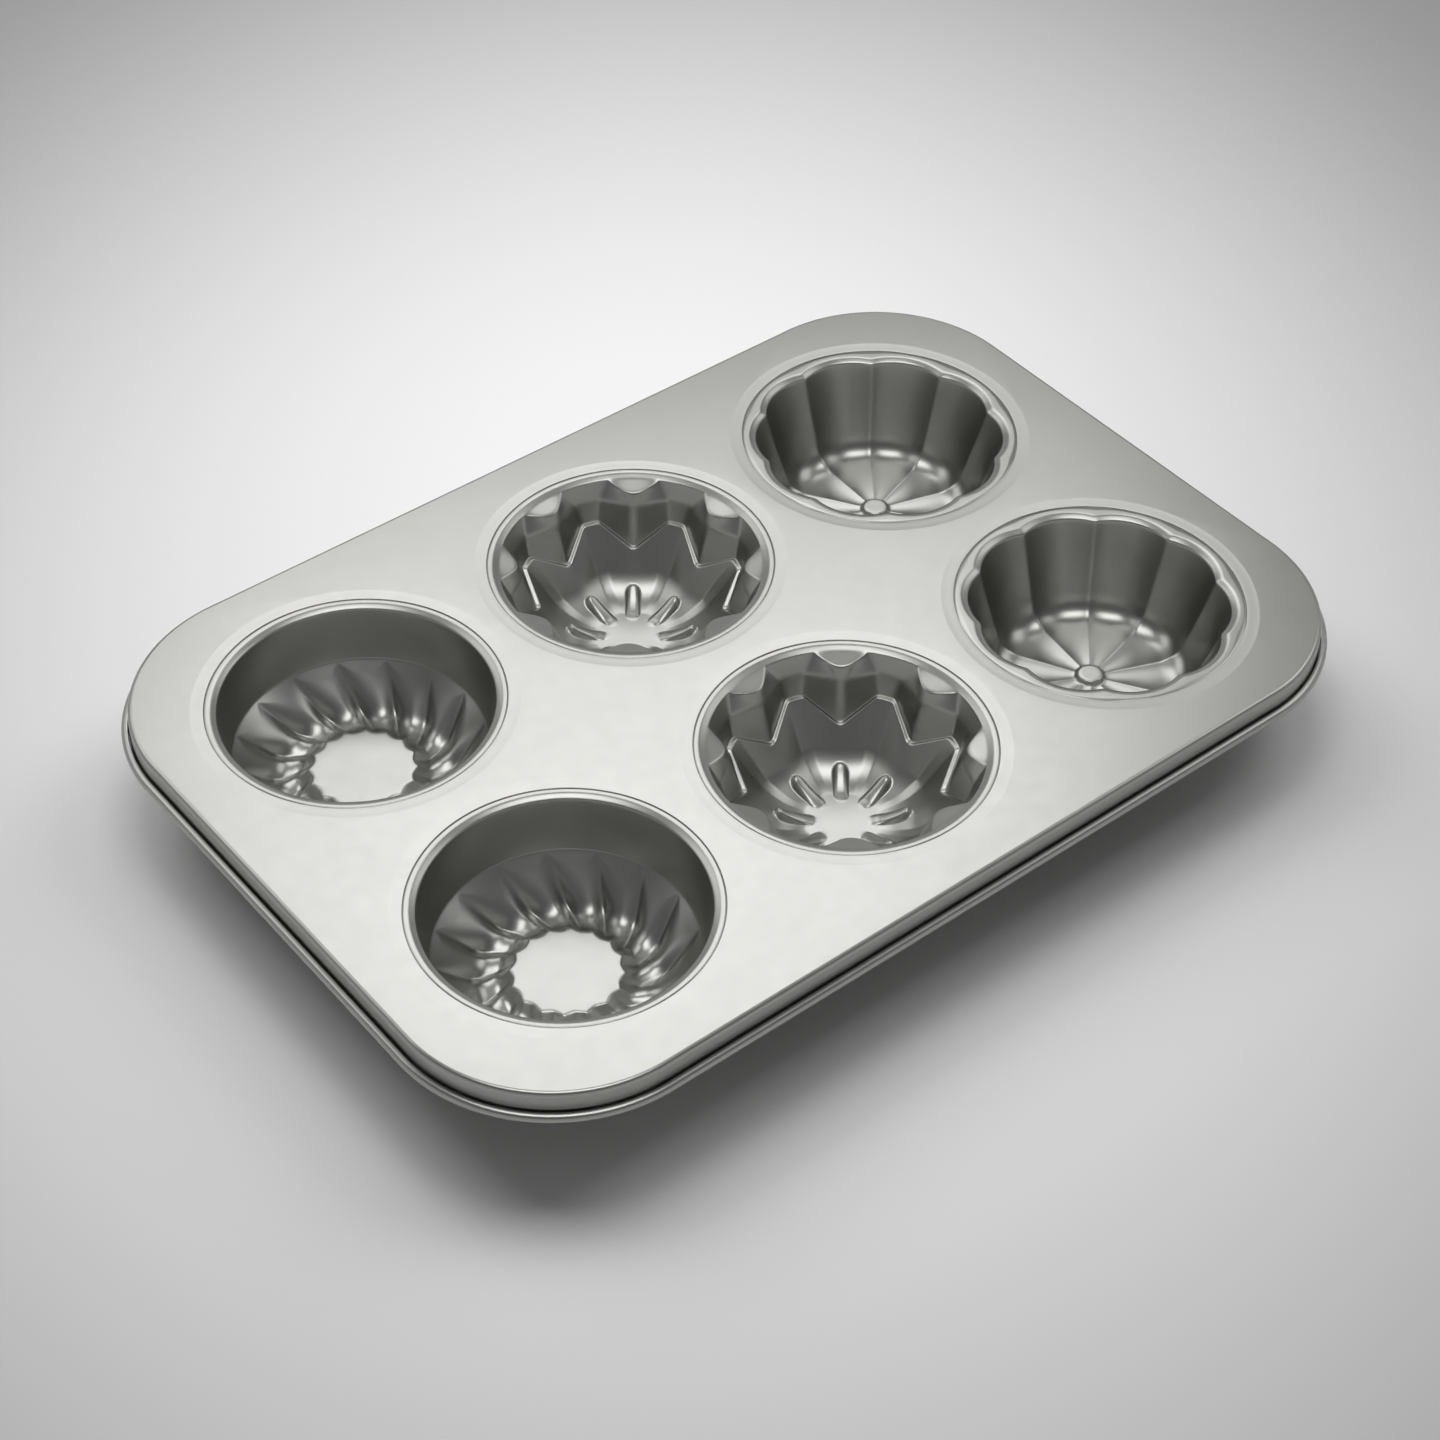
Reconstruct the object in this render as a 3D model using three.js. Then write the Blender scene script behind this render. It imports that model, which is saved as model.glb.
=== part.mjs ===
// A six-cup fancy-cake pan, in millimetres, +Z up, standing on its cups' bases at Z = 0.
// A drawn frame sheet carries six cups in three patterns, two of each. Every cup is pressed from
// sheet of one thickness, and its flange sits in a round recess of the frame. The frame's edge is
// turned down as a skirt and rolled round a stiffening wire.

import * as THREE from 'three';
import { mergeGeometries, mergeVertices } from 'three/addons/utils/BufferGeometryUtils.js';

// Sheet, and the clearance between pieces that touch
const SHEET = 0.5;
const SEAT_GAP = 0.3;

// Frame: a flat top with six dished holes, a skirt and a wired edge
const PLATE_TOP = 27;
const DISH_WIDTH = 3.2;
const DISH_DEPTH = 0.25;
const RECESS_DRAFT = 0.2;
const WEB_ALONG = 3.4;
const WEB_ACROSS = 4.6;
const END_BORDER = 10.9;
const SIDE_BORDER = 11.3;
const CORNER_RADIUS = 41;
const EDGE_BEND = 0.7;
const SKIRT_DROP = 6.8;
const WIRE_RADIUS = 0.6;
const WIRE_GAP = 0.25;
const CURL_START = 180;
const CURL_END = 475;

// Every cup's mouth: a narrow flange, set in the frame's recess, that bends over into the neck
const MOUTH_RADIUS = 34.7;
const NECK_BEND = 1.4;
const FLANGE_FLAT = 0.5;
const FLANGE_DROP = 0.25;

// Swirl cup: a plain upper wall, then flutes that wind down to a moat round a raised, flat disc.
// Heights inside the cups are from their floors.
const FLUTES = 16;
const FLUTE_TOP_RADIUS = 31.7;
const FLUTE_TOP_HEIGHT = 10.9;
const FLUTE_LEDGE = 0.3;
const FLUTE_RIDGE = 2.4;
const FLUTE_KNEE_RADIUS = 19.8;
const FLUTE_KNEE_HEIGHT = 0.2;
const FLUTE_TWIST = -25;
const MOAT_RADIUS = 16.6;
const MOAT_RIDGE = 1.4;
const DISC_RADIUS = 13.6;
const DISC_NOTCH = 1;
const DISC_RISE = 3.2;

// Star cup: eight corners point inwards from a ledge under the mouth and end at a slanted step.
// Below it is an eight-sided bowl. Each side ends in a nose, between hollows and a flat disc.
const STAR_POINTS = 8;
const LEDGE_BEND = 0.7;
const LEDGE_DROP = 0.6;
const LEDGE_CORNER_RADIUS = 27.9;
const LEDGE_TIP_ANGLE = 11;
const SHOULDER_DROP = 3;
const SHOULDER_INSET = 0.6;
const SHOULDER_TIP_ANGLE = 6;
const STEP_TIP_RADIUS = 30.2;
const STEP_TIP_HEIGHT = 15.5;
const STEP_TIP_ANGLE = 4.3;
const STEP_CORNER_RADIUS = 24.6;
const STEP_CORNER_HEIGHT = 9.5;
const STEP_WIDTH = 1.2;
const STEP_FALL = 0.2;
const HOLLOW_TOP_RADIUS = 20;
const HOLLOW_TOP_HEIGHT = 3.6;
const HOLLOW_FOOT_RADIUS = 14.5;
const HOLLOW_FOOT_HEIGHT = 0.8;
const HOLLOW_ANGLE = 12;
const NOSE_ROOT_RADIUS = 18.5;
const NOSE_CREST_RADIUS = 13.2;
const NOSE_CREST_HEIGHT = 1.3;
const NOSE_END_RADIUS = 7.6;
const STAR_DISC_RADIUS = 9.4;

// Flower cup: ten lobes from mouth to base, ridges between the base's sectors, a button in the middle
const LOBES = 10;
const LOBE_SETBACK = 0.6;
const LOBE_DEPTH = 1.8;
const FLOWER_FOOT_RADIUS = 25;
const FLOWER_FOOT_HEIGHT = 4.2;
const FOOT_LOBE_DEPTH = 1.3;
const FILLET_RADIUS = 23.3;
const FILLET_HEIGHT = 1.2;
const FLOWER_BASE_RADIUS = 20.6;
const BASE_RIDGE = 0.8;
const BUTTON_RADIUS = 2.8;
const BUTTON_FOOT = 1.2;
const BUTTON_RIDGE = 0.2;
const BUTTON_RISE = 1.2;

// Facets
const CORNER_STEPS = 6;
const HOLE_STEPS = 26;
const CURL_STEPS = 5;
const WIRE_STEPS = 6;
const FLUTE_COLUMNS = 4;
const FLUTE_SHARES = [0, 0.35, 0.7, 1];
const LOBE_COLUMNS = 4;

const DISH_FLOOR = PLATE_TOP - DISH_DEPTH;
const FLANGE_TOP = DISH_FLOOR - FLANGE_DROP;
const RECESS_FLOOR = FLANGE_TOP - SHEET - SEAT_GAP;
const HOLE_RADIUS = MOUTH_RADIUS + NECK_BEND;
const FLANGE_RADIUS = HOLE_RADIUS + FLANGE_FLAT;
const RECESS_RADIUS = FLANGE_RADIUS + SEAT_GAP;
const DISH_RADIUS = RECESS_RADIUS + RECESS_DRAFT + DISH_WIDTH;
const CUP_PITCH_X = 2 * DISH_RADIUS + WEB_ALONG;
const CUP_PITCH_Y = 2 * DISH_RADIUS + WEB_ACROSS;
const HALF_LENGTH = CUP_PITCH_X + DISH_RADIUS + END_BORDER;
const HALF_WIDTH = CUP_PITCH_Y / 2 + DISH_RADIUS + SIDE_BORDER;
const FLOOR = SHEET;
const UP = new THREE.Vector3(0, 0, 1);

const { lerp, degToRad, radToDeg } = THREE.MathUtils;

const coated = { color: 0xb7b6ae, metalness: 0.9, roughness: 0.34 };
const frameCoating = new THREE.MeshStandardMaterial(coated);
const cupCoating = new THREE.MeshStandardMaterial({ ...coated, color: 0xa5a59d, roughness: 0.3 });
const wireSteel = new THREE.MeshStandardMaterial({ color: 0x8c8c88, metalness: 1, roughness: 0.45 });

// A point at a radius and a turn about a cup's own axis.
function cupPoint(radius, degrees, height) {
  return new THREE.Vector3(radius, 0, height).applyAxisAngle(UP, degToRad(degrees));
}

const evenTurns = (count) => Array.from({ length: count }, (_, i) => (360 * i) / count);

// A rounded swell over one flute or lobe: 0 in the crease at its start, 1 in its middle.
const swellOver = (column, columns) => 1 - (1 - (2 * (column % columns)) / columns) ** 2;

// Triangles between neighbouring rings, which all have the same count of points and run
// counter-clockwise. Each quad is cut along its shorter diagonal. A ring whose points are all one
// point closes the skin as a fan.
function skin(rings) {
  const corners = [];
  const triangle = (a, b, c) => {
    if (!a.equals(b) && !b.equals(c) && !c.equals(a)) corners.push(a, b, c);
  };
  for (let ring = 0; ring + 1 < rings.length; ring += 1) {
    const here = rings[ring];
    const there = rings[ring + 1];
    here.forEach((point, column) => {
      const next = (column + 1) % here.length;
      if (point.distanceTo(there[next]) < here[next].distanceTo(there[column])) {
        triangle(point, here[next], there[next]);
        triangle(point, there[next], there[column]);
      } else {
        triangle(point, here[next], there[column]);
        triangle(here[next], there[next], there[column]);
      }
    });
  }
  return new THREE.BufferGeometry().setFromPoints(corners);
}

// One closed body from skins that share their edges.
function closedBody(skins) {
  const bare = skins.map((part) => {
    const plain = part.index ? part.toNonIndexed() : part;
    plain.deleteAttribute('normal');
    plain.deleteAttribute('uv');
    return plain;
  });
  const body = mergeVertices(mergeGeometries(bare));
  body.computeVertexNormals();
  return body;
}

// How far, and which way, a point of the inside face moves to reach the outside face: along the
// mean of the four facets round it, stretched so that each facet keeps the sheet's thickness.
function outwardStep(rings, ring, column) {
  const count = rings[ring].length;
  const here = rings[ring][column];
  const facets = [];
  for (const ringStep of [-1, 1]) {
    for (const columnStep of [-1, 1]) {
      const along = rings[ring + ringStep]?.[column];
      const around = rings[ring][(column + columnStep + count) % count];
      if (!along || around.equals(here)) continue;
      const down = along.clone().sub(here).multiplyScalar(ringStep);
      const turn = around.clone().sub(here).multiplyScalar(columnStep);
      facets.push(down.cross(turn).normalize());
    }
  }
  if (facets.length === 0) return new THREE.Vector3(0, 0, -SHEET);
  const mean = facets.reduce((sum, facet) => sum.add(facet), new THREE.Vector3()).normalize();
  const meeting = facets.reduce((sum, facet) => sum + mean.dot(facet), 0) / facets.length;
  return mean.multiplyScalar(SHEET / meeting);
}

// A cup pressed from sheet. Its inside face is given as rings from the flange's edge to the base,
// and ends in a middle point. What lies on the floor inside rests on the table outside.
function pressedSheet(insideRings, middleHeight) {
  const middle = insideRings[0].map(() => new THREE.Vector3(0, 0, middleHeight));
  const inside = [...insideRings, middle];
  const outside = inside.map((ring, i) => ring.map((point, j) => {
    const moved = point.clone().add(outwardStep(inside, i, j));
    if (point.z === FLOOR) moved.z = 0;
    return moved;
  }));
  return closedBody([skin([...outside.reverse(), ...inside])]);
}

// The rings of a cup's mouth: the flange's edge, the start of its bend and the neck. The neck's
// radius and its drop below the flange are given for each column, as the mouth may not be plain.
function mouthRings(turns, neckRadius, neckDrop) {
  const ring = (radius, drop) => (
    turns.map((turn, i) => cupPoint(radius(i), turn, FLANGE_TOP - drop(i)))
  );
  const level = () => 0;
  return [
    ring(() => FLANGE_RADIUS, level),
    ring((i) => neckRadius(i) + NECK_BEND, level),
    ring(neckRadius, neckDrop),
  ];
}

const plainNeck = () => MOUTH_RADIUS;
const fullBend = () => NECK_BEND;

// Swirl cup: the flutes' grooves follow one curve down to the moat, on a logarithmic spiral. Their
// ridges stand in from it at the top and up from it at the moat. The disc is notched at the grooves.
function swirlCup() {
  const turns = evenTurns(FLUTES * FLUTE_COLUMNS);
  const groove = new THREE.QuadraticBezierCurve(
    new THREE.Vector2(FLUTE_TOP_RADIUS - FLUTE_LEDGE, FLUTE_TOP_HEIGHT - FLUTE_LEDGE),
    new THREE.Vector2(FLUTE_KNEE_RADIUS, FLUTE_KNEE_HEIGHT),
    new THREE.Vector2(MOAT_RADIUS, 0),
  );
  const wound = (radius) => (
    (FLUTE_TWIST * Math.log(FLUTE_TOP_RADIUS / radius)) / Math.log(FLUTE_TOP_RADIUS / DISC_RADIUS)
  );
  const flutedRing = (share) => {
    const place = groove.getPoint(share);
    const tilt = degToRad(90 * share);
    const fullRidge = lerp(FLUTE_RIDGE, MOAT_RIDGE, share);
    return turns.map((turn, i) => {
      const ridge = fullRidge * swellOver(i, FLUTE_COLUMNS);
      const height = FLOOR + place.y + ridge * Math.sin(tilt);
      return cupPoint(place.x - ridge * Math.cos(tilt), turn + wound(place.x), height);
    });
  };
  const plainWall = turns.map((turn) => cupPoint(FLUTE_TOP_RADIUS, turn, FLOOR + FLUTE_TOP_HEIGHT));
  const disc = turns.map((turn, i) => {
    const notch = DISC_NOTCH * swellOver(i + FLUTE_COLUMNS / 2, FLUTE_COLUMNS);
    return cupPoint(DISC_RADIUS - notch, turn + FLUTE_TWIST, FLOOR + DISC_RISE);
  });
  const mouth = mouthRings(turns, plainNeck, fullBend);
  return pressedSheet([...mouth, plainWall, ...FLUTE_SHARES.map(flutedRing), disc], FLOOR + DISC_RISE);
}

// A ring of straight sides between inward corners and flat tips. A corner and a tip are given as
// radius and height, and a tip also by half the angle that it takes up.
function starRing(corner, tip, tipAngle) {
  const halfSector = 180 / STAR_POINTS;
  const inner = cupPoint(corner.x, 0, corner.y);
  const end = cupPoint(tip.x, halfSector - tipAngle, tip.y);
  const middle = cupPoint(tip.x, halfSector, tip.y);
  const side = inner.clone().lerp(end, 0.5);
  const mirrored = (point) => new THREE.Vector3(point.x, -point.y, point.z);
  return evenTurns(STAR_POINTS).flatMap((turn) => {
    const here = [inner, side, end, middle];
    const next = [end, side].map(mirrored);
    return [
      ...here.map((point) => point.clone().applyAxisAngle(UP, degToRad(turn))),
      ...next.map((point) => point.applyAxisAngle(UP, degToRad(turn + 2 * halfSector))),
    ];
  });
}

// Star cup: ledges under the mouth, steep star walls, a narrow slanted step, and a bowl with noses.
function starCup() {
  const flange = (drop) => FLANGE_TOP - drop;
  const place = (radius, height) => new THREE.Vector2(radius, FLOOR + height);
  const stepTip = place(STEP_TIP_RADIUS, STEP_TIP_HEIGHT);
  const stepCorner = place(STEP_CORNER_RADIUS, STEP_CORNER_HEIGHT);
  const stepIn = new THREE.Vector2(-STEP_WIDTH, -STEP_FALL);

  const onWall = (top, foot, height) => {
    const share = (top.y - height) / (top.y - foot.y);
    return new THREE.Vector2(lerp(top.x, foot.x, share), height);
  };
  const neck = new THREE.Vector2(MOUTH_RADIUS, flange(NECK_BEND));
  const ledgeCorner = new THREE.Vector2(LEDGE_CORNER_RADIUS, flange(LEDGE_BEND + LEDGE_DROP));
  const ledgeTip = onWall(neck, stepTip, flange(NECK_BEND + LEDGE_DROP));
  const shoulder = ledgeCorner.y - SHOULDER_DROP;
  const shoulderCorner = onWall(ledgeCorner, stepCorner, shoulder);
  const shoulderTip = onWall(neck, stepTip, shoulder);
  shoulderTip.x -= SHOULDER_INSET;

  const mouthEdge = starRing(neck, neck, LEDGE_TIP_ANGLE);
  const mouthTurns = mouthEdge.map((point) => radToDeg(Math.atan2(point.y, point.x)));
  const ledgeColumns = [LEDGE_BEND, LEDGE_BEND, NECK_BEND, NECK_BEND, NECK_BEND, LEDGE_BEND];
  const neckDrop = (i) => ledgeColumns[i % ledgeColumns.length];
  return pressedSheet([
    ...mouthRings(mouthTurns, plainNeck, neckDrop),
    starRing(ledgeCorner, ledgeTip, LEDGE_TIP_ANGLE),
    starRing(shoulderCorner, shoulderTip, SHOULDER_TIP_ANGLE),
    starRing(stepCorner, stepTip, STEP_TIP_ANGLE),
    starRing(stepCorner.clone().add(stepIn), stepTip.clone().add(stepIn), STEP_TIP_ANGLE),
    starRing(
      place(NOSE_ROOT_RADIUS, HOLLOW_TOP_HEIGHT),
      place(HOLLOW_TOP_RADIUS, HOLLOW_TOP_HEIGHT),
      STEP_TIP_ANGLE,
    ),
    starRing(
      place(NOSE_CREST_RADIUS, NOSE_CREST_HEIGHT),
      place(HOLLOW_FOOT_RADIUS, HOLLOW_FOOT_HEIGHT),
      HOLLOW_ANGLE,
    ),
    starRing(place(NOSE_END_RADIUS, 0), place(STAR_DISC_RADIUS, 0), HOLLOW_ANGLE),
  ], FLOOR);
}

// Flower cup: lobed walls, a rounded foot, a base with ridges between its sectors, and a button.
function flowerCup() {
  const turns = evenTurns(LOBES * LOBE_COLUMNS);
  const crease = (i) => 1 - swellOver(i, LOBE_COLUMNS);
  const lobed = (radius, depth) => (i) => radius - depth * crease(i);
  const ridged = (height, ridge) => (i) => FLOOR + height + (i % LOBE_COLUMNS === 0 ? ridge : 0);
  const ring = (radius, height) => turns.map((turn, i) => cupPoint(radius(i), turn, height(i)));
  const mouth = lobed(MOUTH_RADIUS - LOBE_SETBACK, LOBE_DEPTH);
  return pressedSheet([
    ...mouthRings(turns, mouth, fullBend),
    ring(lobed(FLOWER_FOOT_RADIUS, FOOT_LOBE_DEPTH), ridged(FLOWER_FOOT_HEIGHT, 0)),
    ring(lobed(FILLET_RADIUS, FOOT_LOBE_DEPTH), ridged(FILLET_HEIGHT, BASE_RIDGE)),
    ring(lobed(FLOWER_BASE_RADIUS, FOOT_LOBE_DEPTH), ridged(0, BASE_RIDGE)),
    ring(() => BUTTON_RADIUS + BUTTON_FOOT, ridged(0, BUTTON_RIDGE)),
    ring(() => BUTTON_RADIUS, ridged(BUTTON_RISE, 0)),
  ], FLOOR + BUTTON_RISE);
}

// One trip round the frame's outline, a given way out from the skirt's face, at a height.
function frameRing(outset, height) {
  const quadrants = [[1, 1], [-1, 1], [-1, -1], [1, -1]];
  return quadrants.flatMap(([sideX, sideY], quadrant) => (
    Array.from({ length: CORNER_STEPS + 1 }, (_, step) => {
      const middle = new THREE.Vector3(
        sideX * (HALF_LENGTH - CORNER_RADIUS),
        sideY * (HALF_WIDTH - CORNER_RADIUS),
        height,
      );
      return cupPoint(CORNER_RADIUS + outset, 90 * (quadrant + step / CORNER_STEPS), 0).add(middle);
    })
  ));
}

const CURL_RADIUS = WIRE_RADIUS + WIRE_GAP;
const WIRE_HEIGHT = PLATE_TOP - SKIRT_DROP;

// A ring round the wire, at a distance from its middle and a turn about it.
function wireRing(distance, degrees) {
  const turn = degToRad(degrees);
  return frameRing(CURL_RADIUS + distance * Math.cos(turn), WIRE_HEIGHT + distance * Math.sin(turn));
}

// Rings of the rolled edge at one face of the sheet, from the skirt round to the free edge.
function curlRings(distance) {
  return Array.from({ length: CURL_STEPS + 1 }, (_, step) => (
    wireRing(distance, lerp(CURL_START, CURL_END, step / CURL_STEPS))
  ));
}

// Rings of the quarter bend from the skirt up to the top, at one face of the sheet.
function edgeBendRings(radius) {
  const middle = -(EDGE_BEND + SHEET);
  return [0, 45, 90].map((degrees) => {
    const turn = degToRad(degrees);
    return frameRing(middle + radius * Math.cos(turn), PLATE_TOP + middle + radius * Math.sin(turn));
  });
}

// A flat face of the frame inside a ring, with the cups' holes left out.
function flatFace(outerRing, holes, facing) {
  const flat = (ring) => ring.map((point) => new THREE.Vector2(point.x, point.y));
  const shape = new THREE.Shape(flat(outerRing));
  shape.holes = holes.map((ring) => new THREE.Path(flat(ring)));
  const face = new THREE.ShapeGeometry(shape);
  if (facing < 0) face.index.array.reverse();
  return face.translate(0, 0, outerRing[0].z);
}

// The dish, recess and hole for one cup, from the top face down through the hole to the underside.
function seatRings(middle) {
  const circle = (radius, height) => {
    const outside = radius / Math.cos(Math.PI / HOLE_STEPS);
    return evenTurns(HOLE_STEPS).map((turn) => cupPoint(outside, turn, height).add(middle));
  };
  return [
    circle(DISH_RADIUS, PLATE_TOP),
    circle(RECESS_RADIUS + RECESS_DRAFT, DISH_FLOOR),
    circle(RECESS_RADIUS, RECESS_FLOOR),
    circle(HOLE_RADIUS, RECESS_FLOOR),
    circle(HOLE_RADIUS, RECESS_FLOOR - SHEET),
    circle(RECESS_RADIUS + SHEET, RECESS_FLOOR - SHEET),
    circle(RECESS_RADIUS + RECESS_DRAFT + SHEET, DISH_FLOOR - SHEET),
    circle(DISH_RADIUS, PLATE_TOP - SHEET),
  ];
}

function frameSheet(middles) {
  const rim = [
    ...edgeBendRings(EDGE_BEND).reverse(),
    ...curlRings(CURL_RADIUS + SHEET),
    ...curlRings(CURL_RADIUS).reverse(),
    ...edgeBendRings(EDGE_BEND + SHEET),
  ];
  const seats = middles.map(seatRings);
  const top = flatFace(rim[rim.length - 1], seats.map((rings) => rings[0]), 1);
  const under = flatFace(rim[0], seats.map((rings) => rings[rings.length - 1]), -1);
  return closedBody([skin(rim), top, under, ...seats.map(skin)]);
}

function rimWire() {
  const turns = evenTurns(WIRE_STEPS);
  return closedBody([skin([...turns, turns[0]].map((turn) => wireRing(WIRE_RADIUS, turn)))]);
}

// The cups' places, and how far each was turned when it was set in its hole
const cups = [
  { name: 'swirl_cup_front', press: swirlCup, column: -1, row: -1, turn: 18.5 },
  { name: 'swirl_cup_back', press: swirlCup, column: -1, row: 1, turn: 0.3 },
  { name: 'star_cup_front', press: starCup, column: 0, row: -1, turn: 7 },
  { name: 'star_cup_back', press: starCup, column: 0, row: 1, turn: 6.5 },
  { name: 'flower_cup_front', press: flowerCup, column: 1, row: -1, turn: 12.3 },
  { name: 'flower_cup_back', press: flowerCup, column: 1, row: 1, turn: 17.3 },
];
const cupMiddle = (cup) => new THREE.Vector3(cup.column * CUP_PITCH_X, (cup.row * CUP_PITCH_Y) / 2, 0);

const pan = new THREE.Group();

function addPiece(name, geometry, material) {
  const piece = new THREE.Mesh(geometry, material);
  piece.name = name;
  pan.add(piece);
  return piece;
}

addPiece('frame_sheet', frameSheet(cups.map(cupMiddle)), frameCoating);
addPiece('rim_wire', rimWire(), wireSteel);
for (const cup of cups) {
  const piece = addPiece(cup.name, cup.press(), cupCoating);
  piece.position.copy(cupMiddle(cup));
  piece.rotation.z = degToRad(cup.turn);
}

export default pan;
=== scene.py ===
import math

import bmesh
import bpy
from mathutils import Matrix, Vector


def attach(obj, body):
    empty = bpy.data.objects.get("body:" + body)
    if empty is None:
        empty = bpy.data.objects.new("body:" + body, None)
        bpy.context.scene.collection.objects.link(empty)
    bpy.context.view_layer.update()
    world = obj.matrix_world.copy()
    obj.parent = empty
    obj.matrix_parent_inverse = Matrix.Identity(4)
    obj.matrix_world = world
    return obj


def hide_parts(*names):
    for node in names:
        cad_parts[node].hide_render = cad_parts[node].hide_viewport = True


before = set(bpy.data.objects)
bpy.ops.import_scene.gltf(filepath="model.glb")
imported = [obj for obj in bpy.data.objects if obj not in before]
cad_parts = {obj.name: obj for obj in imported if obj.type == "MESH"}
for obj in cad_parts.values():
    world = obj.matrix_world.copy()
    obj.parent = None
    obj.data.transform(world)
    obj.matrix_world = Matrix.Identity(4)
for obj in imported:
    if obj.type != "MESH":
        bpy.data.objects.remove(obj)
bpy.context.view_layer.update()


# Frame sheet: one steel blank, drawn with six shallow dishes and recessed seats for the cups. Its
# edge is turned down into a short skirt and rolled outwards round a wire. The sheet has a pale grey
# metallic non-stick coating with a satin sheen.

MM = 0.001
SHEET = 0.5 * MM
PLATE_TOP = 27 * MM
HALF_LENGTH = 135.2 * MM
HALF_WIDTH = 94.2 * MM
CORNER_RADIUS = 41 * MM
CORNER_STEPS = 24
EDGE_BEND = 1.2 * MM
EDGE_BEND_STEPS = 8
SKIRT_DROP = 6.8 * MM
CURL_RADIUS = 0.85 * MM
CURL_TURNS = (180, 475)
CURL_STEPS = 18

CUP_PITCH_X = 84.0 * MM
CUP_PITCH_Y = 85.2 * MM
SEAT_STEPS = 160
DISH_RADIUS = 40.3 * MM
DISH_DEPTH = 0.12 * MM
DISH_EDGE_WIDTH = 0.3 * MM
DISH_EDGE_DROP = 0.04 * MM
DISH_FLAT = 1.2 * MM
DISH_FLAT_RISE = 0.02 * MM
RECESS_RADIUS = 36.9 * MM
RECESS_LIP = 0.12 * MM
RECESS_LIP_MIDDLE = 0.3 * RECESS_LIP
RECESS_DEPTH = 1.3 * MM
HOLE_RADIUS = 36.1 * MM

FRAME_COLOUR = (0.42, 0.42, 0.402)
FRAME_ROUGHNESS = 0.30
CLOUD_SCALE = 60
CLOUD_SHARE = 0.015
GLOSS_SCALE = 220
GLOSS_SPREAD = 0.012
NOISE_LOW = 0.3
NOISE_HIGH = 0.7
GRAIN_SCALE = 2600
GRAIN_STRENGTH = 0.06
GRAIN_HEIGHT = 0.02 * MM


def coating(name, colour, roughness):
    """A metallic non-stick coating: faintly cloudy, uneven in gloss, with a sprayed coat's fine grain."""
    material = bpy.data.materials.new(name)
    material.use_nodes = True
    nodes = material.node_tree.nodes
    links = material.node_tree.links
    shader = nodes["Principled BSDF"]
    shader.inputs["Metallic"].default_value = 1.0
    place = nodes.new("ShaderNodeTexCoord")

    def noise(scale, detail):
        texture = nodes.new("ShaderNodeTexNoise")
        texture.inputs["Scale"].default_value = scale
        texture.inputs["Detail"].default_value = detail
        links.new(place.outputs["Object"], texture.inputs["Vector"])
        return texture.outputs["Fac"]

    cloud = nodes.new("ShaderNodeValToRGB")
    cloud.color_ramp.elements[0].position = NOISE_LOW
    cloud.color_ramp.elements[0].color = (*((1 - CLOUD_SHARE) * part for part in colour), 1)
    cloud.color_ramp.elements[1].position = NOISE_HIGH
    cloud.color_ramp.elements[1].color = (*((1 + CLOUD_SHARE) * part for part in colour), 1)
    links.new(noise(CLOUD_SCALE, 4), cloud.inputs["Fac"])
    links.new(cloud.outputs["Color"], shader.inputs["Base Color"])

    gloss = nodes.new("ShaderNodeMapRange")
    gloss.inputs["From Min"].default_value = NOISE_LOW
    gloss.inputs["From Max"].default_value = NOISE_HIGH
    gloss.inputs["To Min"].default_value = roughness - GLOSS_SPREAD
    gloss.inputs["To Max"].default_value = roughness + GLOSS_SPREAD
    links.new(noise(GLOSS_SCALE, 6), gloss.inputs["Value"])
    links.new(gloss.outputs["Result"], shader.inputs["Roughness"])

    grain = nodes.new("ShaderNodeBump")
    grain.inputs["Strength"].default_value = GRAIN_STRENGTH
    grain.inputs["Distance"].default_value = GRAIN_HEIGHT
    links.new(noise(GRAIN_SCALE, 3), grain.inputs["Height"])
    links.new(grain.outputs["Normal"], shader.inputs["Normal"])
    return material


def sheet_piece(bm, name, node, finish):
    """A pressed sheet as an object that stands for a node. Its faces look up over its thickness."""
    bmesh.ops.recalc_face_normals(bm, faces=bm.faces)
    if sum(face.normal.z * face.calc_area() for face in bm.faces) < 0:
        bmesh.ops.reverse_faces(bm, faces=bm.faces)
    mesh = bpy.data.meshes.new(name)
    bm.to_mesh(mesh)
    bm.free()
    mesh.shade_smooth()
    mesh.materials.append(finish)
    piece = bpy.data.objects.new(name, mesh)
    bpy.context.scene.collection.objects.link(piece)
    wall = piece.modifiers.new("sheet", "SOLIDIFY")
    wall.thickness = SHEET
    wall.offset = -1
    wall.use_even_offset = True
    shading = piece.modifiers.new("shading", "WEIGHTED_NORMAL")
    shading.weight = 100
    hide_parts(node)
    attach(piece, "root")
    return piece


def corner_middle(place):
    """The middle of the rounded corner that a point of the frame's outline belongs to."""
    along = math.copysign(HALF_LENGTH - CORNER_RADIUS, place.x)
    across = math.copysign(HALF_WIDTH - CORNER_RADIUS, place.y)
    return Vector((along, across, 0))


def draw_edge(bm, edges, place):
    """Pulls a new strip out of a loop of edges. Each of its points goes where place puts the old one."""
    strip = bmesh.ops.extrude_edge_only(bm, edges=edges)["geom"]
    for item in strip:
        if isinstance(item, bmesh.types.BMVert):
            item.co = place(item.co)
    return [item for item in strip if isinstance(item, bmesh.types.BMEdge) and item.is_boundary]


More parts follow.
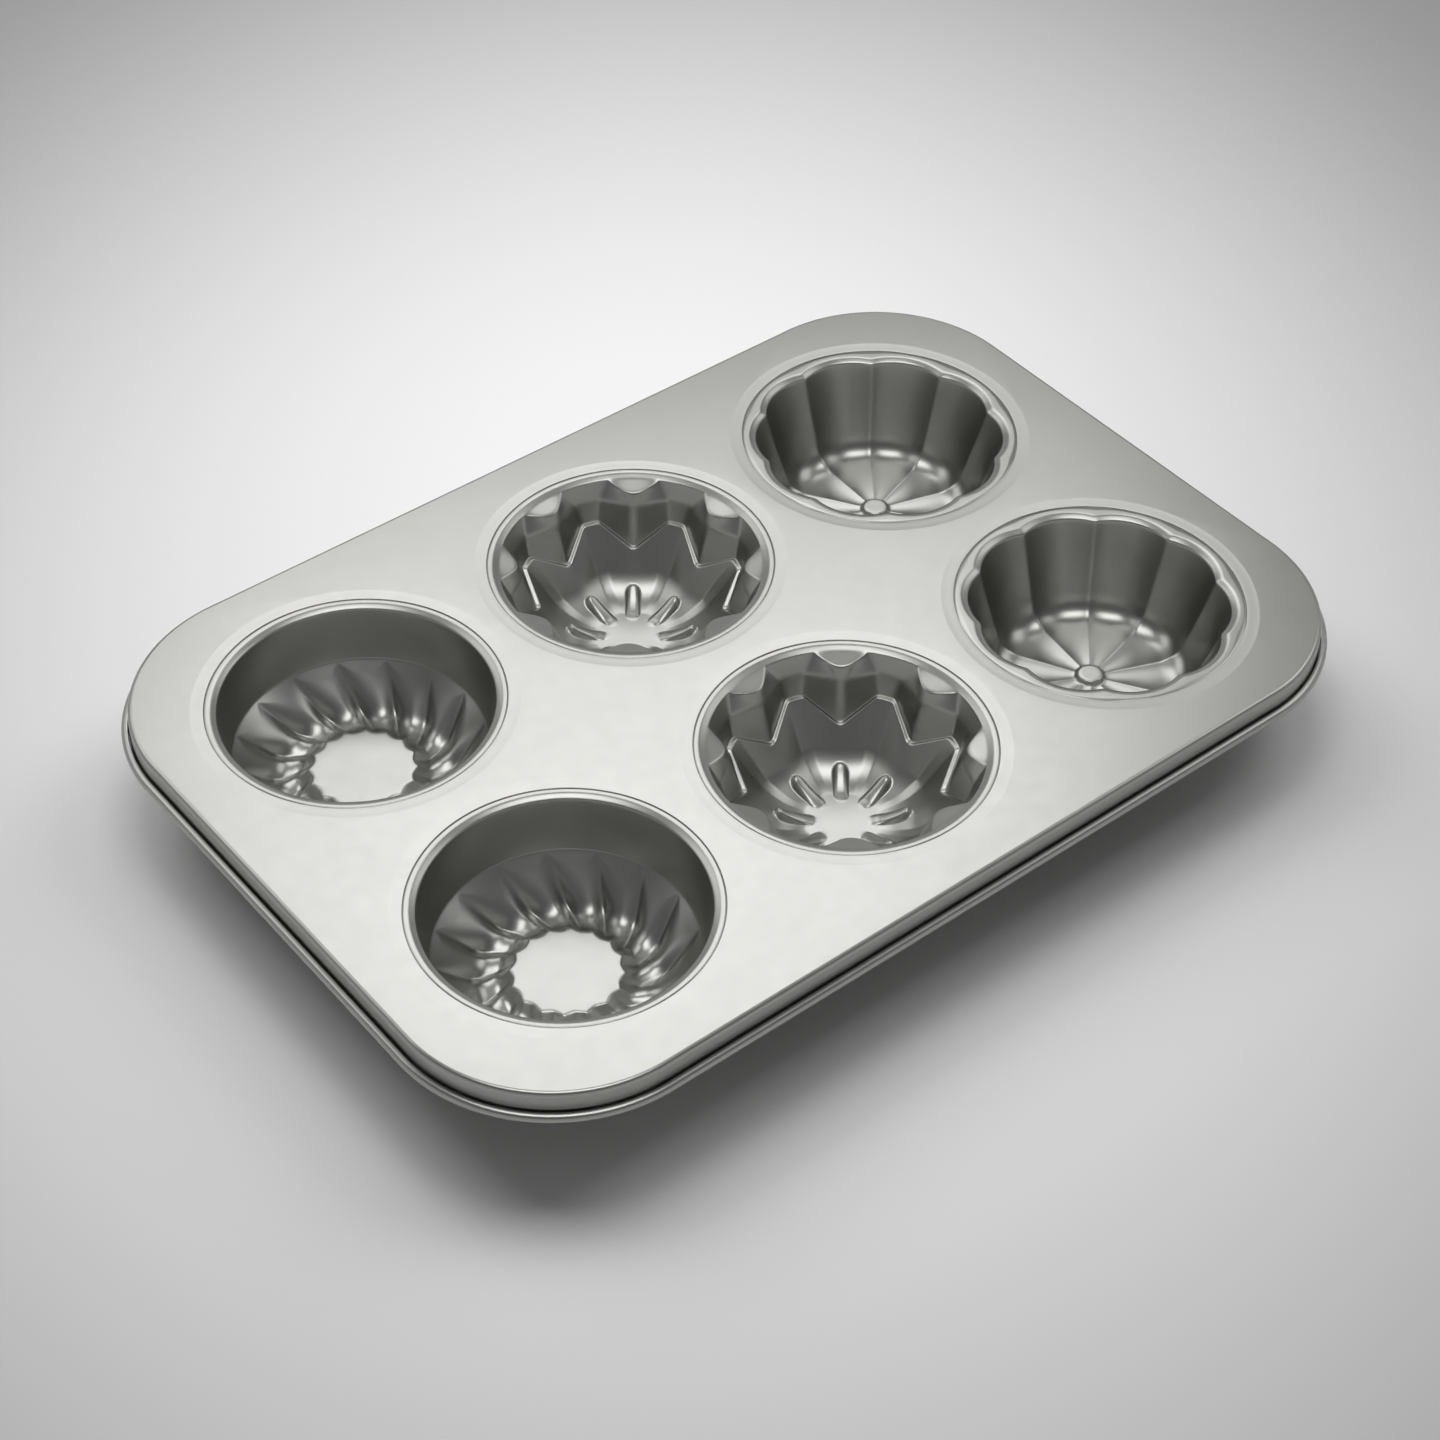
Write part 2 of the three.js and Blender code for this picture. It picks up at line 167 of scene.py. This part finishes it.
def outline_place(outset, height):
    """How points of the frame's outline move to an offset outline at a height."""
    def place(old):
        middle = corner_middle(old)
        way = Vector((old.x - middle.x, old.y - middle.y, 0)).normalized()
        return middle + (CORNER_RADIUS + outset) * way + Vector((0, 0, height))
    return place


def seat_place(middle, radius, height):
    """How points of a seat's circle move to another circle at a height."""
    def place(old):
        way = Vector((old.x - middle.x, old.y - middle.y, 0)).normalized()
        return middle + radius * way + Vector((0, 0, height))
    return place


def draw_frame():
    bm = bmesh.new()
    half_step = Matrix.Rotation(math.pi / (4 * CORNER_STEPS), 4, "Z")
    outline = bmesh.ops.create_circle(
        bm, segments=4 * CORNER_STEPS, radius=CORNER_RADIUS - EDGE_BEND, matrix=half_step)["verts"]
    for point in outline:
        point.co += corner_middle(point.co) + Vector((0, 0, PLATE_TOP))
    rim = list(bm.edges)
    seats = []
    for column in (-1, 0, 1):
        for row in (-0.5, 0.5):
            middle = Vector((column * CUP_PITCH_X, row * CUP_PITCH_Y, 0))
            top = Matrix.Translation(middle + Vector((0, 0, PLATE_TOP)))
            seat = bmesh.ops.create_circle(
                bm, segments=SEAT_STEPS, radius=DISH_RADIUS, matrix=top)["verts"]
            seats.append((middle, list({edge for point in seat for edge in point.link_edges})))
    bmesh.ops.triangle_fill(bm, edges=bm.edges, use_beauty=True, normal=(0, 0, 1))

    for step in range(1, EDGE_BEND_STEPS + 1):
        turn = math.radians(90 * (1 - step / EDGE_BEND_STEPS))
        outset = EDGE_BEND * (math.cos(turn) - 1)
        height = PLATE_TOP + EDGE_BEND * (math.sin(turn) - 1)
        rim = draw_edge(bm, rim, outline_place(outset, height))
    for step in range(CURL_STEPS + 1):
        turn = math.radians(CURL_TURNS[0] + (CURL_TURNS[1] - CURL_TURNS[0]) * step / CURL_STEPS)
        outset = CURL_RADIUS * (1 + math.cos(turn))
        height = PLATE_TOP - SKIRT_DROP + CURL_RADIUS * math.sin(turn)
        rim = draw_edge(bm, rim, outline_place(outset, height))

    dish_floor = PLATE_TOP - DISH_DEPTH
    recess_floor = PLATE_TOP - RECESS_DEPTH
    seat_profile = [
        (DISH_RADIUS - DISH_EDGE_WIDTH, PLATE_TOP - DISH_EDGE_DROP),
        (RECESS_RADIUS + DISH_FLAT, dish_floor + DISH_FLAT_RISE),
        (RECESS_RADIUS + RECESS_LIP, dish_floor),
        (RECESS_RADIUS + RECESS_LIP_MIDDLE, dish_floor - RECESS_LIP_MIDDLE),
        (RECESS_RADIUS, dish_floor - RECESS_LIP),
        (RECESS_RADIUS, recess_floor),
        (HOLE_RADIUS, recess_floor),
    ]
    for middle, loop in seats:
        for radius, height in seat_profile:
            loop = draw_edge(bm, loop, seat_place(middle, radius, height))
    return bm


frame_coating = coating("frame_coating", FRAME_COLOUR, FRAME_ROUGHNESS)
sheet_piece(draw_frame(), "frame_drawn", "frame_sheet", frame_coating)


# Rim wire: a drawn steel wire bent round the frame, which stiffens the rolled edge and stays hidden
# in it. The solid of the model is kept, with plain bright steel that shows drawing marks.

WIRE_COLOUR = (0.50, 0.50, 0.48)
WIRE_ROUGHNESS = (0.32, 0.52)
MARK_SCALE = 1800


def drawn_steel():
    material = bpy.data.materials.new("wire_steel")
    material.use_nodes = True
    nodes = material.node_tree.nodes
    links = material.node_tree.links
    shader = nodes["Principled BSDF"]
    shader.inputs["Metallic"].default_value = 1.0
    shader.inputs["Base Color"].default_value = (*WIRE_COLOUR, 1)
    place = nodes.new("ShaderNodeTexCoord")
    marks = nodes.new("ShaderNodeTexNoise")
    marks.inputs["Scale"].default_value = MARK_SCALE
    marks.inputs["Detail"].default_value = 4
    links.new(place.outputs["Object"], marks.inputs["Vector"])
    gloss = nodes.new("ShaderNodeMapRange")
    gloss.inputs["To Min"].default_value = WIRE_ROUGHNESS[0]
    gloss.inputs["To Max"].default_value = WIRE_ROUGHNESS[1]
    links.new(marks.outputs["Fac"], gloss.inputs["Value"])
    links.new(gloss.outputs["Result"], shader.inputs["Roughness"])
    return material


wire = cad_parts["rim_wire"]
wire.data.materials.clear()
wire.data.materials.append(drawn_steel())


# Swirl cups: two deep-drawn steel cups. Sixteen leaning flutes start from small ledges below a plain
# wall and wind down to a moat round a raised flat disc. Their flanges sit in the frame's recesses.

FLOOR = SHEET
FLANGE_DROP = 0.08 * MM
FLANGE_GAP = 0.01 * MM
FLANGE_TOP = PLATE_TOP - DISH_DEPTH - FLANGE_DROP
FLANGE_RADIUS = RECESS_RADIUS - FLANGE_GAP
MOUTH_RADIUS = 33.9 * MM
LIP_WIDTH = 1.6 * MM
LIP_DROP = 0.75 * MM
LIP_REACH = 0.45 * MM
FLANGE_ROWS = 2
BEND_STEPS = 4
BEND_STEP = 0.5 * MM
MOST_OF_HALF = 0.48
CUP_COLOUR = (0.407, 0.407, 0.389)
CUP_ROUGHNESS = 0.31
SMOOTHING = 2

FLUTES = 16
FLUTE_COLUMNS = 20
CREST_SHARE = 0.35
FLUTE_TOP = Vector((31.7, 10.9)) * MM
GROOVE_TOP = Vector((31.4, 10.6)) * MM
GROOVE_KNEE = Vector((22.4, 0)) * MM
GROOVE_FOOT = Vector((16.2, 0)) * MM
CREST_TOP = Vector((28.5, 8.1)) * MM
CREST_KNEE = Vector((20.4, 1.1)) * MM
CREST_FOOT = Vector((16.2, 1.1)) * MM
LEDGE_REACH = 0.3 * MM
KNEE_REACH = 2.8 * MM
MOAT_REACH = 1.5 * MM
FLUTE_TWIST = -25
DISC_RADIUS = 13.6 * MM
DISC_NOTCH = 1.0 * MM
DISC_RISE = 3.2 * MM
DISC_REACH = 0.5 * MM
DISC_ROWS = 8
MOAT_ROWS = 4
KNEE_ROWS = 3
FLUTE_ROWS = 12
LEDGE_ROWS = 2
PLAIN_WALL_ROWS = 12
SWIRL_TURNS = {"front": 18.5, "back": 0.3}


def cup_point(radius, degrees, height):
    turn = math.radians(degrees)
    return Vector((radius * math.cos(turn), radius * math.sin(turn), height))


def curve_point(start, knee, end, share):
    return (1 - share) ** 2 * start + 2 * share * (1 - share) * knee + share ** 2 * end


def swell(column, columns):
    """A rounded swell over one flute or lobe: 0 in the crease at its start, 1 in its middle."""
    return 1 - (1 - 2 * (column % columns) / columns) ** 2


def mouth_rings(turns, neck_radius, rows):
    """The neck, brink and flange of a cup, whose neck's radius is given for each column."""
    neck = [
        cup_point(neck_radius(column), turn, FLANGE_TOP - LIP_DROP)
        for column, turn in enumerate(turns)
    ]
    brink = [
        cup_point(neck_radius(column) + LIP_WIDTH, turn, FLANGE_TOP)
        for column, turn in enumerate(turns)
    ]
    flange = [cup_point(FLANGE_RADIUS, turn, FLANGE_TOP) for turn in turns]
    return [(neck, rows, LIP_REACH), (brink, 1, LIP_REACH), (flange, FLANGE_ROWS, 0)]


def part_way(ring, other, reach):
    """Points on the way from one ring to another, as far along as a bend reaches, or almost half-way."""
    return [
        point.lerp(goal, min(MOST_OF_HALF, reach / (goal - point).length))
        for point, goal in zip(ring, other)
    ]


def bend_rings(rings):
    """Rounds the corners that a cup's profile makes at its rings. Each ring has its points, the count of
    rows that lead up to it, and how far its bend reaches, which is 0 for a ring on a curve."""
    bent = [rings[0][:2]]
    for inner, (ring, rows, reach), outer in zip(rings, rings[1:], rings[2:]):
        if reach == 0:
            bent.append((ring, rows))
            continue
        spans = list(zip(part_way(ring, inner[0], reach), ring, part_way(ring, outer[0], reach)))
        steps = BEND_STEPS + int(reach / BEND_STEP)
        for step in range(steps + 1):
            curve = [curve_point(*span, step / steps) for span in spans]
            bent.append((curve, 1 if step else rows))
    return bent + [rings[-1][:2]]


def press_cup(rings):
    """A round blank, spun from a row of points, and pressed to a cup. The rings run from the middle of
    its base to its flange."""
    rings = bend_rings(rings)
    columns = len(rings[0][0])
    places = [(0, 0.0)]
    for index, (_, rows) in enumerate(rings[1:]):
        places += [(index, (row + 1) / rows) for row in range(rows)]
    bm = bmesh.new()
    spoke = [bm.verts.new((row, 0, 0)) for row in range(len(places))]
    edges = [bm.edges.new(pair) for pair in zip(spoke, spoke[1:])]
    bmesh.ops.spin(
        bm, geom=spoke + edges, axis=(0, 0, 1), cent=(0, 0, 0), angle=math.tau, steps=columns,
        use_merge=True)
    bmesh.ops.remove_doubles(bm, verts=bm.verts, dist=0.01)
    for point in bm.verts:
        index, share = places[round(point.co.xy.length)]
        column = round(math.atan2(point.co.y, point.co.x) / math.tau * columns) % columns
        point.co = rings[index][0][column].lerp(rings[index + 1][0][column], share)
    inner = [point for point in bm.verts if not point.is_boundary]
    for _ in range(SMOOTHING):
        bmesh.ops.smooth_vert(
            bm, verts=inner, factor=0.5, use_axis_x=True, use_axis_y=True, use_axis_z=True)
    return bm


def set_cups(pattern, column, turns, rings):
    """Presses the two cups of a pattern, turns each as it was set, and puts them in their seats."""
    for row, side in (("front", -0.5), ("back", 0.5)):
        bm = press_cup(rings)
        seat = Matrix.Translation((column * CUP_PITCH_X, side * CUP_PITCH_Y, 0))
        seat = seat @ Matrix.Rotation(math.radians(turns[row]), 4, "Z")
        bmesh.ops.transform(bm, matrix=seat, verts=bm.verts)
        name = f"{pattern}_cup_{row}"
        sheet_piece(bm, f"{name}_pressed", name, cup_coating)


def leaning_swell(column):
    """A flute's section: 0 in the groove at its start, 1 on its crest, which leans to that groove."""
    share = column % FLUTE_COLUMNS / FLUTE_COLUMNS
    climb = share / CREST_SHARE if share < CREST_SHARE else (1 - share) / (1 - CREST_SHARE)
    return 1 - (1 - climb) ** 2


def swirl_rings():
    columns = range(FLUTES * FLUTE_COLUMNS)
    turns = [360 * column / len(columns) for column in columns]

    def wound(radius):
        return FLUTE_TWIST * math.log(FLUTE_TOP.x / radius) / math.log(FLUTE_TOP.x / DISC_RADIUS)

    def fluted(groove, crest):
        ring = []
        for column, turn in zip(columns, turns):
            place = groove.lerp(crest, leaning_swell(column))
            ring.append(cup_point(place.x, turn + wound(groove.x), FLOOR + place.y))
        return ring

    disc_height = FLOOR + DISC_RISE
    disc = []
    for column, turn in zip(columns, turns):
        notch = DISC_NOTCH * swell(column + FLUTE_COLUMNS // 2, FLUTE_COLUMNS)
        disc.append(cup_point(DISC_RADIUS - notch, turn + FLUTE_TWIST, disc_height))
    plain_foot = [cup_point(FLUTE_TOP.x, turn, FLOOR + FLUTE_TOP.y) for turn in turns]
    rings = [([Vector((0, 0, disc_height))] * len(columns), 0, 0), (disc, DISC_ROWS, DISC_REACH)]
    rings.append((fluted(GROOVE_FOOT, CREST_FOOT), MOAT_ROWS, MOAT_REACH))
    rings.append((fluted(GROOVE_KNEE, CREST_KNEE), KNEE_ROWS, KNEE_REACH))
    rings.append((fluted(GROOVE_TOP, CREST_TOP), FLUTE_ROWS, LEDGE_REACH))
    rings.append((plain_foot, LEDGE_ROWS, LEDGE_REACH))
    return rings + mouth_rings(turns, lambda column: MOUTH_RADIUS, PLAIN_WALL_ROWS)


cup_coating = coating("cup_coating", CUP_COLOUR, CUP_ROUGHNESS)
set_cups("swirl", -1, SWIRL_TURNS, swirl_rings())


# Star cups: two deep-drawn steel cups. Eight corners point inwards from ledges under the mouth and end
# at a slanted step. Below it an eight-sided bowl runs down to a flat disc, with a nose on each side.

STAR_POINTS = 8
HALF_SECTOR = 180 / STAR_POINTS
CORNER_COLUMNS = 6
SIDE_COLUMNS = 14
TIP_COLUMNS = 4
CORNER_BEND = 1.7 * MM
LEDGE_BEND = 4.5 * MM
LEDGE_CORNER = Vector((27.9 * MM, FLANGE_TOP - 2.2 * MM))
LEDGE_TIP_ANGLE = 11
LEDGE_TIP_DROP = 0.3 * MM
LEDGE_EDGE = 0.45 * MM
SHOULDER_DROP = 3 * MM
SHOULDER_INSET = 0.6 * MM
SHOULDER_TIP_ANGLE = 6
SHOULDER_REACH = 1.0 * MM
STEP_TIP = Vector((30.2 * MM, FLOOR + 15.5 * MM))
STEP_CORNER = Vector((24.6 * MM, FLOOR + 9.5 * MM))
STEP_TIP_ANGLE = 4.3
STEP_IN = Vector((-1.2, -0.08)) * MM
STEP_REACH = 0.3 * MM
BOWL_FOOT = Vector((15.4, 0.9)) * MM
BASE_EDGE = Vector((8.9, 0)) * MM
BOWL_BEND_SHARE = 0.5
BOWL_RINGS = 30
NOSE_END = Vector((6.6, 0)) * MM
NOSE_INNER = 8.6 * MM
NOSE_OUTER = 14.4 * MM
NOSE_ROOT_LENGTH = 2.4 * MM
NOSE_HALF_WIDTH = 1.95 * MM
NOSE_RISE = 0.5 * MM
NOSE_CLIMB = 0.22
NOSE_RINGS = 6
BASE_ROWS = 8
BOWL_ROWS = 12
STEP_ROWS = 2
CORNER_ROWS = 12
SHOULDER_ROWS = 5
STAR_LEDGE_ROWS = 8
STAR_TURNS = {"front": 7, "back": 6.5}


def star_ring(corner, tip, tip_angle, bend=CORNER_BEND):
    """Straight sides between rounded inward corners and short tips, both given by radius and height."""
    inner = cup_point(corner.x, 0, corner.y)
    end = cup_point(tip.x, HALF_SECTOR - tip_angle, tip.y)
    side = inner.lerp(end, min(0.5, bend / (end - inner).length))
    other_side = Vector((side.x, -side.y, side.z))
    half = [
        curve_point(other_side, inner, side, 0.5 + 0.5 * column / CORNER_COLUMNS)
        for column in range(CORNER_COLUMNS)
    ]
    half += [side.lerp(end, column / SIDE_COLUMNS) for column in range(SIDE_COLUMNS)]
    for column in range(TIP_COLUMNS):
        half.append(cup_point(tip.x, HALF_SECTOR - tip_angle * (1 - column / TIP_COLUMNS), tip.y))
    middle = cup_point(tip.x, HALF_SECTOR, tip.y)
    sector_end = Matrix.Rotation(math.radians(2 * HALF_SECTOR), 3, "Z")
    mirrored = [sector_end @ Vector((point.x, -point.y, point.z)) for point in reversed(half[1:])]
    sector = half + [middle] + mirrored
    return [
        Matrix.Rotation(math.tau * number / STAR_POINTS, 3, "Z") @ point
        for number in range(STAR_POINTS) for point in sector
    ]


def bowl_ring(place):
    """An eight-sided ring of the bowl, given by its sides' distance and height, with its noses."""
    side = Vector((place.x, FLOOR + place.y))
    vertex = Vector((place.x / math.cos(math.radians(HALF_SECTOR)), FLOOR + place.y))
    ring = star_ring(side, vertex, STEP_TIP_ANGLE)
    sector = math.tau / STAR_POINTS
    for point in ring:
        turn = math.atan2(point.y, point.x)
        turn -= sector * round(turn / sector)
        aside = point.xy.length * math.sin(turn) / NOSE_HALF_WIDTH
        along = point.xy.length * math.cos(turn)
        end = max(0, (NOSE_INNER - along) / NOSE_HALF_WIDTH, (along - NOSE_OUTER) / NOSE_ROOT_LENGTH)
        rise = NOSE_RISE + NOSE_CLIMB * (along - NOSE_INNER)
        point.z += rise * max(0, 1 - (aside ** 2 + end ** 2) ** 2)
    return ring


def star_rings():
    columns = STAR_POINTS * 2 * (CORNER_COLUMNS + SIDE_COLUMNS + TIP_COLUMNS)
    neck = Vector((MOUTH_RADIUS, FLANGE_TOP - LIP_DROP))
    mouth_edge = star_ring(neck, neck, LEDGE_TIP_ANGLE, LEDGE_BEND)
    turns = [math.degrees(math.atan2(point.y, point.x)) for point in mouth_edge]

    def on_wall(top, foot, height):
        return top.lerp(foot, (top.y - height) / (top.y - foot.y))

    ledge_tip = on_wall(neck, STEP_TIP, neck.y - LEDGE_TIP_DROP)
    shoulder = LEDGE_CORNER.y - SHOULDER_DROP
    shoulder_tip = on_wall(neck, STEP_TIP, shoulder) - Vector((SHOULDER_INSET, 0))
    shoulder_corner = on_wall(LEDGE_CORNER, STEP_CORNER, shoulder)
    bowl_top = STEP_CORNER + STEP_IN - Vector((0, FLOOR))
    bowl_wall = BOWL_FOOT.lerp(bowl_top, BOWL_BEND_SHARE)

    rings = [([Vector((0, 0, FLOOR))] * columns, 0, 0), (bowl_ring(NOSE_END), BASE_ROWS, 0)]
    for step in range(1, NOSE_RINGS):
        rings.append((bowl_ring(NOSE_END.lerp(BASE_EDGE, step / NOSE_RINGS)), 1, 0))
    for step in range(BOWL_RINGS + 1):
        place = curve_point(BASE_EDGE, BOWL_FOOT, bowl_wall, step / BOWL_RINGS)
        rings.append((bowl_ring(place), 1, 0))
    step_inside = star_ring(STEP_CORNER + STEP_IN, STEP_TIP + STEP_IN, STEP_TIP_ANGLE)
    step_outside = star_ring(STEP_CORNER, STEP_TIP, STEP_TIP_ANGLE)
    shoulders = star_ring(shoulder_corner, shoulder_tip, SHOULDER_TIP_ANGLE)
    ledges = star_ring(LEDGE_CORNER, ledge_tip, LEDGE_TIP_ANGLE, LEDGE_BEND)
    rings.append((step_inside, BOWL_ROWS, STEP_REACH))
    rings.append((step_outside, STEP_ROWS, STEP_REACH))
    rings.append((shoulders, CORNER_ROWS, SHOULDER_REACH))
    rings.append((ledges, SHOULDER_ROWS, LEDGE_EDGE))
    return rings + mouth_rings(turns, lambda column: MOUTH_RADIUS, STAR_LEDGE_ROWS)


set_cups("star", 0, STAR_TURNS, star_rings())


# Flower cups: two deep-drawn steel cups with ten lobes from the mouth down to a rounded foot. Ridges
# run in from the creases over the base, between troughs, to a small raised button in its middle.

LOBES = 10
LOBE_COLUMNS = 32
LOBE_SETBACK = 0.6 * MM
LOBE_DEPTH = 1.8 * MM
FOOT_RADIUS = 24.8 * MM
FOOT_LOBE_DEPTH = 0.7 * MM
FOOT_REACH = 5.8 * MM
BASE_RIDGE = 0.9 * MM
BUTTON_RADIUS = 3.1 * MM
BUTTON_FOOT_RADIUS = 4.0 * MM
BUTTON_RISE = 1.2 * MM
BUTTON_REACH = 0.4 * MM
BUTTON_ROWS = 4
BUTTON_SIDE_ROWS = 2
TROUGH_ROWS = 18
LOBE_ROWS = 20
FLOWER_TURNS = {"front": 12.3, "back": 17.3}


def flower_rings():
    columns = range(LOBES * LOBE_COLUMNS)
    turns = [360 * column / len(columns) for column in columns]
    crease = [1 - swell(column, LOBE_COLUMNS) for column in columns]

    def ring(radius, lobe, height, ridge):
        return [
            cup_point(radius - lobe * pinch, turn, FLOOR + height + ridge * pinch)
            for turn, pinch in zip(turns, crease)
        ]

    button_ridge = BASE_RIDGE * BUTTON_FOOT_RADIUS / FOOT_RADIUS
    rings = [([Vector((0, 0, FLOOR + BUTTON_RISE))] * len(columns), 0, 0)]
    rings.append((ring(BUTTON_RADIUS, 0, BUTTON_RISE, 0), BUTTON_ROWS, BUTTON_REACH))
    rings.append((ring(BUTTON_FOOT_RADIUS, 0, 0, button_ridge), BUTTON_SIDE_ROWS, BUTTON_REACH))
    rings.append((ring(FOOT_RADIUS, FOOT_LOBE_DEPTH, 0, BASE_RIDGE), TROUGH_ROWS, FOOT_REACH))
    return rings + mouth_rings(
        turns,
        lambda column: MOUTH_RADIUS - LOBE_SETBACK - LOBE_DEPTH * crease[column],
        LOBE_ROWS)


set_cups("flower", 1, FLOWER_TURNS, flower_rings())


# Studio: a pale matt floor with a painted pool of light (pale round the pan, painted darker further out,
# grey again far off), three soft lamps that light it and throw the shadows, four soft boxes that the
# metal mirrors, grey surroundings that grow paler towards the horizon, and the camera at the photograph's
# place.

# The floor's colour holds a painted pool of light: pale round the pan, painted dimmer further out, grey
# far off.
FLOOR_PAINTED_POOL_LIT = (0.752, 0.752, 0.752)
FLOOR_PAINTED_POOL_DIM = (0.19, 0.19, 0.19)
FLOOR_BEYOND = (0.42, 0.42, 0.42)
POOL_MIDDLE = (-0.004, 0.019, 0)
POOL_SIZE = (0.152, 0.1145, 1)
POOL_TURN = math.radians(50.5)
POOL_NEAR = 0.2
POOL_FAR = 3.5
DIM_END = 4.2
PALE_AGAIN = 12
FLOOR_HALF_SIZE = 40
SKY_GREY = 0.145
HORIZON_GREY = 0.75
GLOW_TOP = 0.5

# Each key lamp has its azimuth, elevation and brightness, each box also its distance, width and height.
KEY_DISTANCE = 1.5
KEY_SIZE = (0.9, 0.7)
KEYS = {"left": (97, 40, 6.1), "back": (56, 62, 3.8), "right": (5, 40, 5.0)}
BOXES = {
    "back": (55, 51, 1.4, 0.76, 0.64, 2.36),
    "top": (230, 81, 1.5, 1.1, 0.62, 2.93),
    "left": (111, 41, 1.5, 1.1, 0.70, 1.33),
    "right": (-10, 43, 1.5, 1.0, 0.66, 1.3),
}
CAMERA_LENS = 74.69
CAMERA_SENSOR = 36
CAMERA_PLACE = Vector((-346.74, -421.07, 528.31)) * MM
CAMERA_TURN = (46.038, -0.51, -38.604)


def studio_floor():
    bm = bmesh.new()
    bmesh.ops.create_grid(bm, x_segments=8, y_segments=8, size=FLOOR_HALF_SIZE)
    mesh = bpy.data.meshes.new("floor")
    bm.to_mesh(mesh)
    bm.free()
    material = bpy.data.materials.new("floor_paper_painted_pool")
    material.use_nodes = True
    nodes = material.node_tree.nodes
    links = material.node_tree.links
    shader = nodes["Principled BSDF"]
    shader.inputs["Roughness"].default_value = 0.9
    shader.inputs["Specular IOR Level"].default_value = 0.0
    place = nodes.new("ShaderNodeTexCoord")
    oval = nodes.new("ShaderNodeMapping")
    oval.vector_type = "TEXTURE"
    oval.inputs["Location"].default_value = POOL_MIDDLE
    oval.inputs["Rotation"].default_value = (0, 0, POOL_TURN)
    oval.inputs["Scale"].default_value = POOL_SIZE
    links.new(place.outputs["Object"], oval.inputs["Vector"])
    away = nodes.new("ShaderNodeVectorMath")
    away.operation = "LENGTH"
    links.new(oval.outputs["Vector"], away.inputs[0])
    pool = nodes.new("ShaderNodeMapRange")
    pool.interpolation_type = "SMOOTHSTEP"
    pool.inputs["From Min"].default_value = POOL_NEAR
    pool.inputs["From Max"].default_value = POOL_FAR
    links.new(away.outputs["Value"], pool.inputs["Value"])
    # Painted pool of light: the floor's colour goes from pale near the pan to a painted dimness further
    # out.
    painted_pool_tone = nodes.new("ShaderNodeValToRGB")
    painted_pool_tone.color_ramp.elements[0].color = (*FLOOR_PAINTED_POOL_LIT, 1)
    painted_pool_tone.color_ramp.elements[1].color = (*FLOOR_PAINTED_POOL_DIM, 1)
    links.new(pool.outputs["Result"], painted_pool_tone.inputs["Fac"])
    beyond = nodes.new("ShaderNodeMapRange")
    beyond.interpolation_type = "SMOOTHSTEP"
    beyond.inputs["From Min"].default_value = DIM_END
    beyond.inputs["From Max"].default_value = PALE_AGAIN
    links.new(away.outputs["Value"], beyond.inputs["Value"])
    paper = nodes.new("ShaderNodeMix")
    paper.data_type = "RGBA"
    paper.inputs["B"].default_value = (*FLOOR_BEYOND, 1)
    links.new(beyond.outputs["Result"], paper.inputs["Factor"])
    links.new(painted_pool_tone.outputs["Color"], paper.inputs["A"])
    links.new(paper.outputs["Result"], shader.inputs["Base Color"])
    mesh.materials.append(material)
    floor = bpy.data.objects.new("floor", mesh)
    bpy.context.scene.collection.objects.link(floor)


def soft_box(name, azimuth, elevation, distance, width, height, brightness):
    """A rectangular lamp that looks at the pan. Its brightness is what a mirror would show of it."""
    light = bpy.data.lights.new(name, "AREA")
    light.shape = "RECTANGLE"
    light.size = width
    light.size_y = height
    light.energy = brightness * math.pi * width * height
    lamp = bpy.data.objects.new(name, light)
    bpy.context.scene.collection.objects.link(lamp)
    low = math.cos(math.radians(elevation))
    way = Vector((
        low * math.cos(math.radians(azimuth)),
        low * math.sin(math.radians(azimuth)),
        math.sin(math.radians(elevation)),
    ))
    lamp.location = distance * way
    lamp.rotation_euler = way.to_track_quat("Z", "Y").to_euler()
    lamp.visible_camera = False
    return lamp


def studio_world():
    """Plain grey surroundings that grow paler towards the horizon."""
    world = bpy.data.worlds.new("studio")
    world.use_nodes = True
    nodes = world.node_tree.nodes
    links = world.node_tree.links
    way = nodes.new("ShaderNodeTexCoord")
    parts = nodes.new("ShaderNodeSeparateXYZ")
    links.new(way.outputs["Generated"], parts.inputs["Vector"])
    glow = nodes.new("ShaderNodeMapRange")
    glow.inputs["From Min"].default_value = 0
    glow.inputs["From Max"].default_value = GLOW_TOP
    glow.inputs["To Min"].default_value = HORIZON_GREY
    glow.inputs["To Max"].default_value = SKY_GREY
    links.new(parts.outputs["Z"], glow.inputs["Value"])
    links.new(glow.outputs["Result"], nodes["Background"].inputs["Color"])
    bpy.context.scene.world = world


studio_floor()
studio_world()
for name, (azimuth, elevation, brightness) in KEYS.items():
    key = soft_box(f"{name}_key", azimuth, elevation, KEY_DISTANCE, *KEY_SIZE, brightness)
    key.visible_glossy = False
for name, (azimuth, elevation, distance, width, height, brightness) in BOXES.items():
    box = soft_box(f"{name}_box", azimuth, elevation, distance, width, height, brightness)
    box.visible_diffuse = name == "back"

camera_data = bpy.data.cameras.new("camera")
camera_data.lens = CAMERA_LENS
camera_data.sensor_width = CAMERA_SENSOR
camera = bpy.data.objects.new("camera", camera_data)
bpy.context.scene.collection.objects.link(camera)
camera.location = CAMERA_PLACE
camera.rotation_euler = [math.radians(turn) for turn in CAMERA_TURN]
bpy.context.scene.camera = camera
bpy.context.scene.view_settings.view_transform = "Standard"
